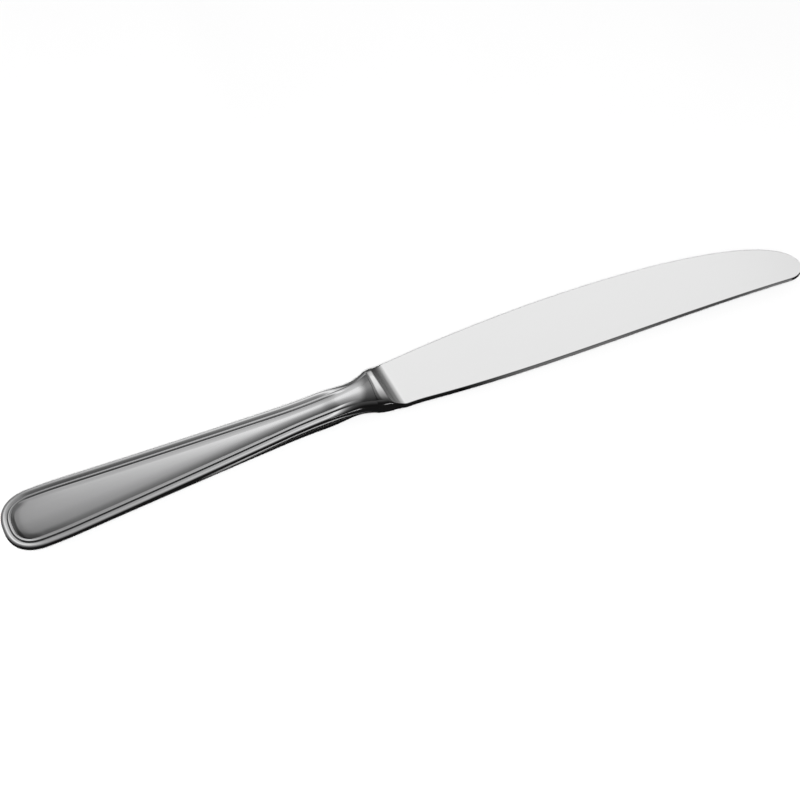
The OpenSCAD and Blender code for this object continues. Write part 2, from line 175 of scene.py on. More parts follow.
class HandleSizes(bpy.types.PropertyGroup):
    """Sizes of the handle's two pressed shells."""

    butt_round_len: size("Butt rounding", 9.4, "Length over which the butt is rounded in plan")
    butt_fullness: factor("Butt fullness", 2.4, "Power of the butt's rounded outline, 2 is an ellipse")
    taper_ease_len: size("Taper ease at the butt", 8, "Length over which the taper sets in")
    neck_ease_len: size("Taper ease at the neck", 10, "Length over which the taper ends")
    neck_half_w: size("Neck half width", 4.05, "Half width at the narrowest place")
    neck_to_mouth: size("Neck to mouth", 14.5, "From the narrowest place to the bolster")
    flare_len: size("Flare length", 9, "Length of the flare behind the bolster")
    flare_power: factor("Flare power", 3, "Higher makes the handle widen later towards the bolster")
    rise_power: factor("Rise power", 1.33, "Higher makes the handle thicken later than it widens")
    mouth_half_w: size("Mouth half width", 5.65, "Half width against the bolster")
    neck_half_h: size("Neck half height", 3.65, "Half thickness of the oval neck")
    mouth_half_h: size("Mouth half height", 4.16, "Half thickness against the bolster")
    wall: size("Wall", 0.4, "Thickness of the pressed sheet")
    outer_crest_in: size("Outer crest inset", 0.75, "From the edge to the crest of the outer bead")
    side_fullness: factor("Side fullness", 4, "Power of the side's curve under the outer bead")
    flank_power: factor("Flank power", 1.3, "Power of both beads' inner flanks, higher is flatter on top")
    groove_in: size("Groove inset", 1.5, "From the edge to the groove between the beads")
    panel_in: size("Panel inset", 2.45, "From the edge to the panel")
    outer_bead_h: size("Outer bead height", 0.12, "Height of the outer bead over the panel's edge")
    groove_drop: size("Groove drop", 0.13, "Depth of the groove under the panel's edge")
    inner_bead_h: size("Inner bead height", 0.22, "Height of the inner bead over the panel's edge")
    inner_bead_top: factor("Inner bead top", 0.47, "Share of the inner bead's width where it is highest")
    bead_fade_len: size("Bead fade length", 10, "Length over which the beads run out")
    bead_end_to_mouth: size("Bead end to mouth", 3.5, "Plain oval length behind the bolster")
    butt_floor_h: size("Panel edge height at the butt", 0.85, "Half thickness at the panel's edge")
    neck_floor_h: size("Panel edge height at the neck", 2.95, "Half thickness at the panel's edge")
    thicken_start: size("Thickening start", 10, "Where the handle starts to thicken")
    thicken_end: size("Thickening end", 88, "Where the handle stops thickening")
    thicken_power: factor("Thickening power", 2, "Higher makes the thickening start more slowly")
    dome_h: size("Dome height", 0.46, "Rise of a wide panel's round middle")
    dome_reach: size("Dome reach", 2, "Half width of the panel under which the dome gets much lower")
    dome_end_power: factor("Dome end power", 12, "Higher makes the dome end closer to the panel's end")
    border_slope: factor("Border slope", 0.27, "Slope that the panel's border has besides the dome")
    border_w: size("Border width", 1, "Width of the panel's sloping border")
    border_ease: size("Border ease", 0.1, "How softly the border runs into the dome")
    butt_steps: count("Steps round the butt", 44, "Rays round half of the butt")
    side_steps: count("Steps along the side", 96, "Stations from the butt's rounding to the flare")
    flare_steps: count("Steps along the flare", 26, "Stations along the flare")
    rim_steps: count("Rim steps", 20, "Steps over the rim's rounded side")
    flank_steps: count("Flank steps", 8, "Steps from the outer crest to the groove")
    bead_steps: count("Bead steps", 18, "Steps over the inner bead")
    panel_steps: count("Panel steps", 22, "Steps over half of the panel")


class BladeSizes(bpy.types.PropertyGroup):
    """Sizes of the blade, the bolster and the tang."""

    rim_len: size("Rim length", 2.9, "Length of the bolster's rim at the spine")
    step_slant: factor("Step slant", 0.13, "How much shorter the rim gets towards the cutting edge")
    rim_half_w: size("Rim half width", 5.5, "Half width of the rim")
    rim_half_h: size("Rim half height", 4.35, "Half thickness of the rim")
    rim_fullness: factor("Rim fullness", 2.8, "Power of the rim's outline, 2 is an ellipse")
    roll_r: size("Roll radius", 6, "Radius with which the rim rolls down to the handle's mouth")
    roll_back: size("Roll at the back", 0.24, "How far the rim rolls down at most")
    roll_front: size("Roll at the front", 0.12, "How far the rim rolls down to its front edge")
    roll_power: factor("Roll power", 4, "Higher makes the rim flatter and its back edge steeper")
    roll_top: factor("Roll top", 0.78, "Share of the rim's length where it is highest")
    step_fillet_r: size("Step fillet", 4.1, "Radius between the rim's front and the cheek")
    spine_root_t: size("Spine thickness at the root", 2.4, "Thickness at the bolster")
    spine_tip_t: size("Spine thickness at the tip", 1.6, "Thickness where the tip's rounding starts")
    edge_t: size("Edge thickness", 0.4, "Thickness of the cutting edge at a third of its length")
    edge_root: size("Edge at the root", 5.9, "From the axis to the cutting edge at the root")
    spine_root: size("Spine at the root", 6.3, "From the axis to the spine at the root")
    spine_flare: size("Spine flare", 0.35, "How far the spine flares out to the bolster")
    spine_flare_len: size("Spine flare length", 6, "Length of the spine's flare")
    edge_pull_len: size("Edge pull", 46.5, "Length of the edge curve's first handle")
    edge_pull_rise: size("Edge rise", 3.7, "Rise of the edge curve's first handle")
    tip_drop: size("Tip drop", 8.9, "From the axis to the foremost point of the tip")
    tip_pull: size("Tip pull", 14, "Length of the edge curve's last handle")
    spine_tip: size("Spine at the tip", 11.5, "From the axis to the spine where the tip's rounding starts")
    tip_round_len: size("Tip rounding", 3.8, "Length of the rounding between the tip and the spine")
    tip_round_pull: factor("Tip rounding pull", 0.55, "Length of the rounding's handles")
    spine_root_pull_len: size("Spine pull at the root", 36, "Length of the spine curve's first handle")
    spine_root_pull_drop: size("Spine drop at the root", 4.5, "Drop of the spine curve's first handle")
    spine_tip_pull_len: size("Spine pull at the tip", 36.5, "Length of the spine curve's last handle")
    spine_tip_pull_rise: size("Spine rise at the tip", 2.5, "Rise of the spine curve's last handle")
    spine_corner_r: size("Spine corner", 0.16, "Rounding between the cheek and the spine")
    edge_corner_r: size("Edge corner", 0.14, "Rounding between the cheek and the cutting edge")
    spigot_len: size("Spigot length", 3, "Length of the spigot in the handle's mouth")
    spigot_half_w: size("Spigot half width", 3.8, "Half width of the spigot")
    spigot_half_h: size("Spigot half height", 3.1, "Half thickness of the spigot")
    tang_len: size("Tang length", 48, "Length of the tang in the handle")
    tang_root_w: size("Tang width at the root", 5.2, "Width at the spigot")
    tang_end_w: size("Tang width at the end", 3.4, "Width at the end")
    tang_root_t: size("Tang thickness at the root", 3.6, "Thickness at the spigot")
    tang_end_t: size("Tang thickness at the end", 1.4, "Thickness at the end")
    roll_steps: count("Roll steps", 16, "Steps over the rim's roll")
    fillet_steps: count("Fillet steps", 18, "Steps down the step and its fillet")
    plate_steps: count("Blade steps", 120, "Steps from the fillet to the tip's rounding")
    tip_steps: count("Tip steps", 36, "Steps over the tip's rounding")
    cheek_steps: count("Cheek steps", 26, "Steps over the cheek, from spine to edge")
    # The step's dull zone is rougher, and its colour is darkened there as painted shade in the recess
    # before the rim
    dull_shade_whole: factor("Wholly dull", 0.35, "Share of the step, from the rim, that is as dull as it gets")
    dull_shade_fade: factor("Dull fade", 0.6, "Share of the step over which the polish comes back")
    dull_shade_spine: factor("Dullness at the spine", 0.25, "How dull the step is at the spine, against the edge")
    dull_shade_power: factor("Dullness power", 4, "Higher keeps the dullest part closer to the cutting edge")


class FinishSettings(bpy.types.PropertyGroup):
    """Colours and polish of the materials."""

    blade_colour: tint("Blade", (0.79, 0.79, 0.79), "Colour of the blade's steel")
    handle_colour: tint("Handle", (0.77, 0.77, 0.775), "Colour of the handle's steel")
    braze_colour: tint("Braze", (0.72, 0.71, 0.68), "Colour of the braze")
    cement_colour: tint("Cement", (0.46, 0.43, 0.39), "Colour of the cement")
    floor_colour: tint("Floor", (0.95, 0.95, 0.95), "Colour of the studio's floor")
    polish: factor("Polish", 0.07, "Lowest roughness of the steel")
    # Where the step is dull its colour is darkened, which is painted shade; the added roughness is its less
    # polished finish
    painted_shade_tone: factor("Dull tone", 0.25, "Part of its colour that the steel keeps where it is dull")
    dull_rough: factor("Dull roughness", 0.4, "What is added to the roughness where the steel is dull")
    wear: factor("Wear", 0.05, "What the polishing lines and smears add to the roughness")


class StudioSettings(bpy.types.PropertyGroup):
    """Camera, floor, light and reflected cards."""

    azimuth: turn_of("Azimuth", -22.143, "Camera's turn round the knife")
    elevation: turn_of("Elevation", 68, "Camera's angle over the floor")
    distance: size("Distance", 800, "From the camera to its target")
    target_x: size("Target along the knife", 102.845, "From the butt to the middle of the picture")
    target_y: size("Target across the knife", -4.61, "From the handle's axis to the middle of the picture")
    lens: optic("Lens", 144.88, "Focal length of the camera")
    sensor_w: optic("Sensor width", 36, "Width of the camera's sensor")
    clip_start: size("Clip start", 10, "Nearest distance that the camera sees")
    floor_r: size("Floor radius", 8000, "Radius of the round floor")
    sky: factor("Sky", 0.2, "Strength of the white light that the floor gets from all round")
    lamp_level: factor("Lamp level", 0.99, "Part of a plain level that the soft lamp gives")
    lamp_size: size("Lamp size", 250, "Side of the soft lamp")
    lamp_distance: size("Lamp distance", 1700, "From the soft lamp to the camera's target")
    tent_height: size("Tent height", 720, "Height of the overhead card")
    tent_depth: size("Tent depth", 750, "From the knife to the cards before and behind it")
    tent_half_len: size("Tent half length", 1200, "Half length of the cards")


def mix(a, b, share):
    """Value between a and b."""
    return a + (b - a) * share


def clamp01(value):
    """Value held between 0 and 1."""
    return max(0.0, min(1.0, value))


def smooth_step(share):
    """Share that starts and ends level."""
    held = clamp01(share)
    return held * held * (3 - 2 * held)


def eased_share(run, length, start_ease, end_ease):
    """Straight rise from 0 to 1 over length, rounded over the two ease lengths."""
    slope = 1 / (length - (start_ease + end_ease) / 2)
    left = length - run
    if run <= 0:
        return 0.0
    if left <= 0:
        return 1.0
    if run < start_ease:
        return slope * run * run / (2 * start_ease)
    if left < end_ease:
        return 1 - slope * left * left / (2 * end_ease)
    return slope * (run - start_ease / 2)


def steps(first, last, number):
    """Evenly spaced values from first to last."""
    return [mix(first, last, i / number) for i in range(number + 1)]


def cubic(points, t):
    """x and y at t on a cubic curve of four plan points."""
    s = 1 - t
    weights = (s * s * s, 3 * s * s * t, 3 * s * t * t, t * t * t)
    return [sum(weight * point[axis] for weight, point in zip(weights, points)) for axis in (0, 1)]


def cubic_y(points, x):
    """The curve's y where it passes x. Its x rises."""
    low, high = 0.0, 1.0
    if x >= points[3][0]:
        return points[3][1]
    for _ in range(HALVINGS):
        middle = (low + high) / 2
        if cubic(points, middle)[0] < x:
            low = middle
        else:
            high = middle
    return cubic(points, (low + high) / 2)[1]


class HandleShape:
    """The handle's surface: x runs from the butt, y from the axis and z from the middle plane."""

    def __init__(self, sizes):
        low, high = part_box("front_handle_shell")
        seam_low, seam_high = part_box("seam_braze")
        self.sizes = sizes
        self.length = high.x - low.x
        self.butt_half_w = (high.y - low.y) / 2
        self.seam_half = (seam_high.z - seam_low.z) / 2
        self.place = Vector((low.x, (low.y + high.y) / 2, (seam_low.z + seam_high.z) / 2))
        self.neck_x = self.length - sizes.neck_to_mouth
        self.bead_fade_x = self.length - sizes.bead_end_to_mouth - sizes.bead_fade_len

    def flare(self, x):
        """Share of the flare behind the bolster at x."""
        s = self.sizes
        return clamp01((x - self.length + s.flare_len) / s.flare_len) ** s.flare_power

    def taper(self, x):
        """Share of the taper from the butt to the neck at x."""
        s = self.sizes
        run, length = x - s.butt_round_len, self.neck_x - s.butt_round_len
        return eased_share(run, length, s.taper_ease_len, s.neck_ease_len)

    def half_w(self, x):
        """Half width at x."""
        s = self.sizes
        plain = mix(self.butt_half_w, s.neck_half_w, self.taper(x))
        return plain + (s.mouth_half_w - s.neck_half_w) * self.flare(x)

    def neck_h(self, x):
        """Half thickness of the oval neck at x."""
        s = self.sizes
        return mix(s.neck_half_h, s.mouth_half_h, self.flare(x) ** s.rise_power)

    def floor_h(self, x):
        """Half thickness at the panel's edge at x."""
        s = self.sizes
        share = clamp01((x - s.thicken_start) / (s.thicken_end - s.thicken_start)) ** s.thicken_power
        return mix(s.butt_floor_h, s.neck_floor_h, share)

    def butt_reach(self, angle):
        """From the butt's centre to its outline."""
        s = self.sizes
        power = s.butt_fullness
        along = abs(math.cos(angle)) / s.butt_round_len
        across = abs(math.sin(angle)) / self.butt_half_w
        return (along ** power + across ** power) ** (-1 / power)

    def stations(self):
        """Places on the outline from the butt's end to the mouth.

        Each holds its point, its inward direction and the x at which its heights are taken.
        """
        s = self.sizes
        centre = s.butt_round_len
        rows = []
        for angle in steps(math.pi, QUARTER, s.butt_steps)[:-1]:
            outward = Vector((math.cos(angle), math.sin(angle)))
            rows.append((Vector((centre, 0)) + outward * self.butt_reach(angle), -outward, centre))
        rows[0][0].y = 0
        flare_x = self.length - s.flare_len
        along = steps(centre, flare_x, s.side_steps) + steps(flare_x, self.length, s.flare_steps)[1:]
        for x in along:
            rows.append((Vector((x, self.half_w(x))), Vector((0, -1)), x))
        return rows

    def panel_rise(self, point, edge_x):
        """Height of the panel over its edge: a dome across the handle and a sloping border all round."""
        s = self.sizes
        reach = self.half_w(edge_x) - s.panel_in
        across = clamp01(abs(point.y) / reach)
        dome = s.dome_h * math.tanh(reach / s.dome_reach) * (1 - across * across)
        out = across
        if point.x < s.butt_round_len:
            spoke = point - Vector((s.butt_round_len, 0))
            angle = math.atan2(spoke.y, spoke.x)
            reach = self.butt_reach(angle) - s.panel_in
            out = clamp01(spoke.length / reach)
            dome *= 1 - math.cos(angle) ** 2 * out ** s.dome_end_power
        # Distance from the edge, eased so that it is level in the middle
        from_edge = reach * (1 - out * out) / 2
        whole = math.log1p(math.exp(s.border_w / s.border_ease))
        left = math.log1p(math.exp((s.border_w - from_edge) / s.border_ease))
        return dome + s.border_slope * s.border_ease * (whole - left)

    def blended(self, point, x, height, inset):
        """Height of a pressed section turned into the plain oval of the neck."""
        s = self.sizes
        share = smooth_step((x - self.bead_fade_x) / s.bead_fade_len)
        across = clamp01(abs(point.y) / (self.half_w(x) - inset))
        oval = mix(self.seam_half, self.neck_h(x) - inset, math.sqrt(1 - across * across))
        return mix(height, oval, share)

    def inner_bead(self, share):
        """Height of the inner bead over the panel's edge, steeper on its outer flank."""
        s = self.sizes
        if share < s.inner_bead_top:
            return mix(-s.groove_drop, s.inner_bead_h, math.sin(QUARTER * share / s.inner_bead_top))
        past_top = (share - s.inner_bead_top) / (1 - s.inner_bead_top)
        return s.inner_bead_h * (1 - past_top ** s.flank_power)

    def half_row(self, station, inside):
        """One half of a section, from the seam to the axis, on the outside or on the inside of the wall."""
        s = self.sizes
        start, inward, x = station
        floor = self.floor_h(x)
        wall = s.wall if inside else 0.0
        edge_h = floor - wall
        crest = edge_h if inside else floor + s.outer_bead_h
        row = []

        def add(inset, height):
            point = start + inward * inset
            row.append(Vector((point.x, point.y, self.blended(point, x, height, wall))))

        power_of_turn = 2 / s.side_fullness
        for turn in steps(0, QUARTER, s.rim_steps):
            inset = s.outer_crest_in * (1 - clamp01(math.cos(turn)) ** power_of_turn)
            add(wall + inset, mix(self.seam_half, crest, math.sin(turn) ** power_of_turn))
        first = (s.groove_in + s.panel_in) / 2 if inside else s.groove_in
        for share in steps(0, 1, s.flank_steps)[1:]:
            rise = 0 if inside else mix(s.outer_bead_h, -s.groove_drop, share ** s.flank_power)
            add(mix(wall + s.outer_crest_in, first, share), edge_h + rise)
        for share in steps(0, 1, s.bead_steps)[1:]:
            add(mix(first, s.panel_in, share), edge_h + (0 if inside else self.inner_bead(share)))
        edge = start + inward * s.panel_in
        for share in steps(0, 1, s.panel_steps)[1:]:
            point = Vector((edge.x, edge.y * (1 - share)))
            rise = self.panel_rise(point, x)
            row.append(Vector((point.x, point.y, self.blended(point, x, edge_h + rise, wall))))
        return row

    def ring(self, station):
        """A whole closed section: over the outside, and back along the inside."""
        outer = self.half_row(station, False)
        inner = self.half_row(station, True)
        return across_and_back(outer, inner)


def across_and_back(outer, inner):
    """Closed ring of a half section outside and a half section inside, both from the seam to the axis."""
    other = [Vector((p.x, -p.y, p.z)) for p in outer]
    other_inner = [Vector((p.x, -p.y, p.z)) for p in inner]
    return outer + other[-2::-1] + other_inner + inner[-2::-1]


class BladeShape:
    """The blade's surface over the middle plane, in the handle's frame."""

    def __init__(self, sizes, handle):
        s = sizes
        _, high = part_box("blade")
        self.sizes = s
        self.start = handle.length
        tip = Vector((high.x - handle.place.x, -s.tip_drop))
        self.tip_x = tip.x
        self.place = handle.place
        self.rim_front = self.start + s.rim_len
        self.foot = self.rim_front + s.step_fillet_r
        self.spine_end = Vector((self.tip_x - s.tip_round_len, -s.spine_tip))
        edge_start = Vector((self.foot, s.edge_root))
        self.edge = (
            edge_start,
            edge_start + Vector((s.edge_pull_len, s.edge_pull_rise)),
            tip + Vector((0, s.tip_pull)),
            tip,
        )
        spine_start = Vector((self.foot, -s.spine_root))
        spine_pull = Vector((-s.spine_tip_pull_len, s.spine_tip_pull_rise))
        self.spine = (
            spine_start,
            spine_start + Vector((s.spine_root_pull_len, -s.spine_root_pull_drop)),
            self.spine_end + spine_pull,
            self.spine_end,
        )
        drop = s.spine_tip - s.tip_drop
        self.corner = (
            self.spine_end,
            self.spine_end - spine_pull.normalized() * s.tip_round_pull * s.tip_round_len,
            tip - Vector((0, s.tip_round_pull * drop)),
            tip,
        )
        self.set_cheek()
        self.columns = self.make_columns()

    def set_cheek(self):
        """Plane of the cheek, from its half thickness at three places."""
        s = self.sizes
        root = Vector((self.foot, -s.spine_root, s.spine_root_t / 2))
        far = Vector((self.spine_end.x, self.spine_end.y, s.spine_tip_t / 2))
        belly = cubic(self.edge, 1 / 3)
        thin = Vector((belly[0], belly[1], s.edge_t / 2))
        normal = (far - root).cross(thin - root)
        self.cheek_root = root
        self.cheek_slope = (-normal.x / normal.z, -normal.y / normal.z)

    def cheek(self, x, y):
        """Height of the cheek over the middle plane."""
        root = self.cheek_root
        return root.z + (x - root.x) * self.cheek_slope[0] + (y - root.y) * self.cheek_slope[1]

    def edge_y(self, x):
        """Cutting edge at x."""
        return cubic_y(self.edge, x)

    def spine_y(self, x):
        """Spine at x, with its flare to the bolster and the tip's rounding."""
        s = self.sizes
        if x > self.spine_end.x:
            return cubic_y(self.corner, x)
        out = s.spine_flare * (1 - clamp01((x - self.foot) / s.spine_flare_len)) ** 2
        return cubic_y(self.spine, x) - out

    def make_columns(self):
        """Columns of the mesh from the spine's middle over the cheek to the edge's middle.

        Each holds its zone, its share of that zone and its angle on the bolster's oval.
        """
        side, corner = SIDE_ANGLE, CORNER_ANGLE
        columns = [("spine", share, math.pi - side * share) for share in (0, *SIDE_SHARES)]
        columns += [("spine corner", share, math.pi - mix(side, corner, share)) for share in CORNER_SHARES]
        inside = steps(CHEEK_MARGIN, 1 - CHEEK_MARGIN, self.sizes.cheek_steps)
        for share in [CHEEK_BORDER, *inside, 1 - CHEEK_BORDER, 1]:
            columns.append(("cheek", share, math.acos(mix(-math.cos(corner), math.cos(corner), share))))
        columns += [("edge corner", share, mix(corner, side, share)) for share in CORNER_SHARES]
        columns += [("edge", share, side * (1 - share)) for share in SIDE_SHARES]
        return columns

    def corner_r(self, radius, x, y, width):
        """Radius of a corner of the plate, less where the plate is narrow or thin."""
        return min(radius, CORNER_OF_WIDTH * width, CORNER_OF_HEIGHT * self.cheek(x, y))

    def plate_point(self, x, column):
        """Point of the blade's plate at x."""
        s = self.sizes
        zone, share, _ = column
        spine, edge = self.spine_y(x), self.edge_y(x)
        width = max(edge - spine, 0)
        spine_r = self.corner_r(s.spine_corner_r, x, spine, width)
        edge_r = self.corner_r(s.edge_corner_r, x, edge, width)
        spine_h = self.cheek(x, spine + spine_r)
        edge_h = self.cheek(x, edge - edge_r)
        turn = QUARTER * share
        from_side, from_top = 1 - math.cos(turn), 1 - math.sin(turn)
        if zone == "spine":
            return Vector((x, spine, share * (spine_h - spine_r)))
        if zone == "spine corner":
            return Vector((x, spine + spine_r * from_side, spine_h - spine_r * from_top))
        if zone == "cheek":
            y = mix(spine + spine_r, edge - edge_r, share)
            return Vector((x, y, self.cheek(x, y)))
        if zone == "edge corner":
            return Vector((x, edge - edge_r * from_top, edge_h - edge_r * from_side))
        return Vector((x, edge, (1 - share) * (edge_h - edge_r)))

    def rim_end(self, y):
        """Where the rim's front lies at y, before its fillet."""
        s = self.sizes
        return self.start + s.rim_len - s.step_slant * (y + s.spine_root)

    def foot_x(self, column):
        """Where the fillet in front of the rim runs into the plate."""
        x = self.foot
        for _ in range(FOOT_ROUNDS):
            x = self.rim_end(self.plate_point(x, column).y) + self.sizes.step_fillet_r
        return x

    def rim_inset(self, run, length):
        """How far the rim's roll lies inside its oval, at a share of its length."""
        s = self.sizes
        if run < s.roll_top:
            deepest = min((s.roll_top * length) ** 2 / (2 * s.roll_r), s.roll_back)
            return deepest * (1 - run / s.roll_top) ** s.roll_power
        return s.roll_front * ((run - s.roll_top) / (1 - s.roll_top)) ** 2

    def bolster_point(self, x, angle, inset):
        """Point of the bolster's oval at x."""
        s = self.sizes
        run = (x - self.start) / (self.foot - self.start)
        spine_half = mix(s.rim_half_w, s.spine_root + s.spine_flare, run)
        half = s.rim_half_w if math.cos(angle) > 0 else spine_half
        aside = math.cos(angle)
        rise = clamp01(1 - abs(aside) ** s.rim_fullness) ** (1 / s.rim_fullness)
        return Vector((x, (half - inset) * aside, (s.rim_half_h - inset) * rise))

    def front_x(self, column):
        """Where the rim ends and the step to the cheek starts."""
        s = self.sizes
        r = s.step_fillet_r
        x = self.rim_end(0)
        for _ in range(FRONT_ROUNDS):
            point = self.bolster_point(x, column[2], s.roll_front)
            front = self.rim_end(point.y)
            sink = clamp01((self.cheek(front + r, point.y) + r - point.z) / r)
            x = front + r * (1 - math.sqrt(1 - sink * sink))
        return x

    def step_point(self, share, column, front_x, foot_x):
        """Point between the rim's front, at share 0, and the plate's foot, at share 1."""
        s = self.sizes
        r = s.step_fillet_r
        top = self.bolster_point(front_x, column[2], s.roll_front)
        foot = self.plate_point(foot_x, column)
        if column[0] in ("spine", "edge"):
            return top.lerp(foot, share)
        first_turn = math.asin(clamp01((foot.z + r - top.z) / r))
        wall = max(top.z - foot.z - r, 0)
        run = share * (wall + r * (QUARTER - first_turn))
        if run < wall:
            along, z = 0, top.z - run
        else:
            turn = first_turn + (run - wall) / r
            along = 1 - math.cos(turn) / max(math.cos(first_turn), MERGE_DISTANCE)
            z = foot.z + r * (1 - math.sin(turn))
        return Vector((mix(front_x, foot_x, along), mix(top.y, foot.y, along), z))

    def line(self, column, front, foot):
        """Line of points along the blade in one column, from the rim's back to the tip."""
        s = self.sizes
        tip_run = self.tip_x - self.spine_end.x
        plate = steps(foot, self.spine_end.x, s.plate_steps)[1:]
        plate += [self.tip_x - tip_run * (1 - f) ** 2 for f in steps(0, 1, s.tip_steps)[1:]]
        points = []
        for run in steps(0, 1, s.roll_steps):
            inset = self.rim_inset(run, front - self.start)
            points.append(self.bolster_point(mix(self.start, front, run), column[2], inset))
        points += [self.step_point(share, column, front, foot) for share in steps(0, 1, s.fillet_steps)[1:]]
        return points + [self.plate_point(x, column) for x in plate]

    def dullness_and_shade(self):
        """How dull each point of each line is. Only the step in front of the rim is less polished, and
        there the steel is also darkened as painted shade.
        """
        s = self.sizes
        down = steps(0, 1, s.fillet_steps)
        step = [1 - smooth_step((share - s.dull_shade_whole) / s.dull_shade_fade) for share in down]
        result = []
        for column in self.columns:
            to_edge = (math.cos(column[2]) + 1) / 2
            level = mix(s.dull_shade_spine, 1, to_edge ** s.dull_shade_power)
            inside = [level * share for share in step]
            result.append([0] * s.roll_steps + inside + [0] * (s.plate_steps + s.tip_steps))
        return result

    def lines(self):
        """Lines of points along the blade, one for each column."""
        side = len(SIDE_SHARES)
        ends = {}
        for zone, column in (("spine", self.columns[side]), ("edge", self.columns[-1 - side])):
            ends[zone] = (self.front_x(column), self.foot_x(column))
        result = []
        for column in self.columns:
            front, foot = ends.get(column[0]) or (self.front_x(column), self.foot_x(column))
            result.append(self.line(column, front, foot))
        return result


def shaped_grid(mesh, rows, dull=()):
    """Grid of as many points as the rows have, each moved to its place and marked with how dull it is,
    which also sets its painted shade.
    """
    long, wide = len(rows) - 1, len(rows[0]) - 1
    # The dull mark also darkens the steel there as painted shade
    layer = mesh.verts.layers.float.new("dull") if dull else None
    made = bmesh.ops.create_grid(mesh, x_segments=long, y_segments=wide, size=0.5)
    for vert in made["verts"]:
        i = round((vert.co.x + 0.5) * long)
        j = round((vert.co.y + 0.5) * wide)
        vert.co = rows[i][j]
        if dull:
            vert[layer] = dull[i][j]


def finish_piece(mesh, name, place, material, nodes, sharp_angle=40):
    """Closes a mesh, moves it to its place, adds it under the root body and hides the CAD nodes that it
    stands for.
    """
    bmesh.ops.remove_doubles(mesh, verts=mesh.verts[:], dist=MERGE_DISTANCE)
    bmesh.ops.dissolve_degenerate(mesh, edges=mesh.edges[:], dist=MERGE_DISTANCE)
    bmesh.ops.recalc_face_normals(mesh, faces=mesh.faces[:])
    bmesh.ops.translate(mesh, verts=mesh.verts[:], vec=place)
    open_edges = [edge for edge in mesh.edges if len(edge.link_faces) != 2]
    if open_edges:
        raise RuntimeError(f"{name} has {len(open_edges)} open edges")
    for face in mesh.faces:
        face.smooth = True
    for edge in mesh.edges:
        edge.smooth = edge.calc_face_angle() < math.radians(sharp_angle)
    data = bpy.data.meshes.new(name)
    mesh.to_mesh(data)
    mesh.free()
    data.materials.append(material)
    piece = bpy.data.objects.new(name, data)
    bpy.context.scene.collection.objects.link(piece)
    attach(piece, "root")
    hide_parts(*nodes)


def node_material(name):
    """New node material, its node tree and its shader."""
    material = bpy.data.materials.new(name)
    material.use_nodes = True
    tree = material.node_tree
    shader = tree.nodes["Principled BSDF"]
    return material, tree, shader


def object_noise(tree, scale, stretch, detail):
    """Noise in object coordinates, stretched by a scale for each axis."""
    coordinates = tree.nodes.new("ShaderNodeTexCoord")
    mapping = tree.nodes.new("ShaderNodeMapping")
    mapping.inputs["Scale"].default_value = stretch
    noise = tree.nodes.new("ShaderNodeTexNoise")
    noise.inputs["Scale"].default_value = scale
    noise.inputs["Detail"].default_value = detail
    tree.links.new(coordinates.outputs["Object"], mapping.inputs["Vector"])
    tree.links.new(mapping.outputs["Vector"], noise.inputs["Vector"])
    return noise.outputs["Fac"]


def ranged(tree, value, low, high):
    """Value of a noise spread over a range."""
    node = tree.nodes.new("ShaderNodeMapRange")
    node.inputs["From Min"].default_value = NOISE_LOW
    node.inputs["From Max"].default_value = NOISE_HIGH
    node.inputs["To Min"].default_value = low
    node.inputs["To Max"].default_value = high
    tree.links.new(value, node.inputs["Value"])
    return node.outputs["Result"]


def toned(tree, value, colour, spread):
    """Colour that a noise makes a little darker or lighter."""
    node = tree.nodes.new("ShaderNodeMix")
    node.data_type = "RGBA"
    node.inputs[MIX_FIRST].default_value = [c * (1 - spread) for c in colour] + [1]
    node.inputs[MIX_SECOND].default_value = [min(c * (1 + spread), 1) for c in colour] + [1]
    tree.links.new(value, node.inputs["Factor"])
    return node.outputs[MIX_RESULT]


def bumped(tree, value, strength, distance):
    """Normal that a noise makes uneven."""
    node = tree.nodes.new("ShaderNodeBump")
    node.inputs["Strength"].default_value = strength
    node.inputs["Distance"].default_value = distance
    tree.links.new(value, node.inputs["Height"])
    return node.outputs["Normal"]


def steel(name, colour, polish, wear):
    """Polished steel with fine lengthwise lines and faint smears."""
    material, tree, shader = node_material(name)
    lines = object_noise(tree, 1, LINE_STRETCH, LINE_DETAIL)
    smears = object_noise(tree, 1, SMEAR_STRETCH, SMEAR_DETAIL)
    both = tree.nodes.new("ShaderNodeMath")
    both.operation = "ADD"
    tree.links.new(ranged(tree, lines, polish, polish + wear), both.inputs[0])
    tree.links.new(ranged(tree, smears, 0, wear * SMEAR_WEAR), both.inputs[1])
    tree.links.new(both.outputs["Value"], shader.inputs["Roughness"])
    tree.links.new(toned(tree, smears, colour, SMEAR_TONE), shader.inputs["Base Color"])
    tree.links.new(bumped(tree, lines, LINE_BUMP, LINE_DEPTH), shader.inputs["Normal"])
    shader.inputs["Metallic"].default_value = 1
    return material


def dulled_and_shaded(material, share, roughness):
    """Makes a steel rougher where its mesh says that it is dull, and darker there as painted shade."""
    tree = material.node_tree
    shader = tree.nodes["Principled BSDF"]
    mark = tree.nodes.new("ShaderNodeAttribute")
    mark.attribute_name = "dull"
    tone = shader.inputs["Base Color"].links[0].from_socket
    # Painted shade: the steel's colour is darkened where the step is dull
    dark = tree.nodes.new("ShaderNodeMix")
    dark.data_type = "RGBA"
    dark.blend_type = "MULTIPLY"
    dark.inputs[MIX_SECOND].default_value = (share, share, share, 1)
    tree.links.new(mark.outputs["Fac"], dark.inputs["Factor"])
    tree.links.new(tone, dark.inputs[MIX_FIRST])
    tree.links.new(dark.outputs[MIX_RESULT], shader.inputs["Base Color"])
    rough = tree.nodes.new("ShaderNodeMath")
    rough.operation = "MULTIPLY_ADD"
    rough.inputs[1].default_value = roughness
    tree.links.new(mark.outputs["Fac"], rough.inputs[0])
    tree.links.new(shader.inputs["Roughness"].links[0].from_socket, rough.inputs[2])
    tree.links.new(rough.outputs["Value"], shader.inputs["Roughness"])


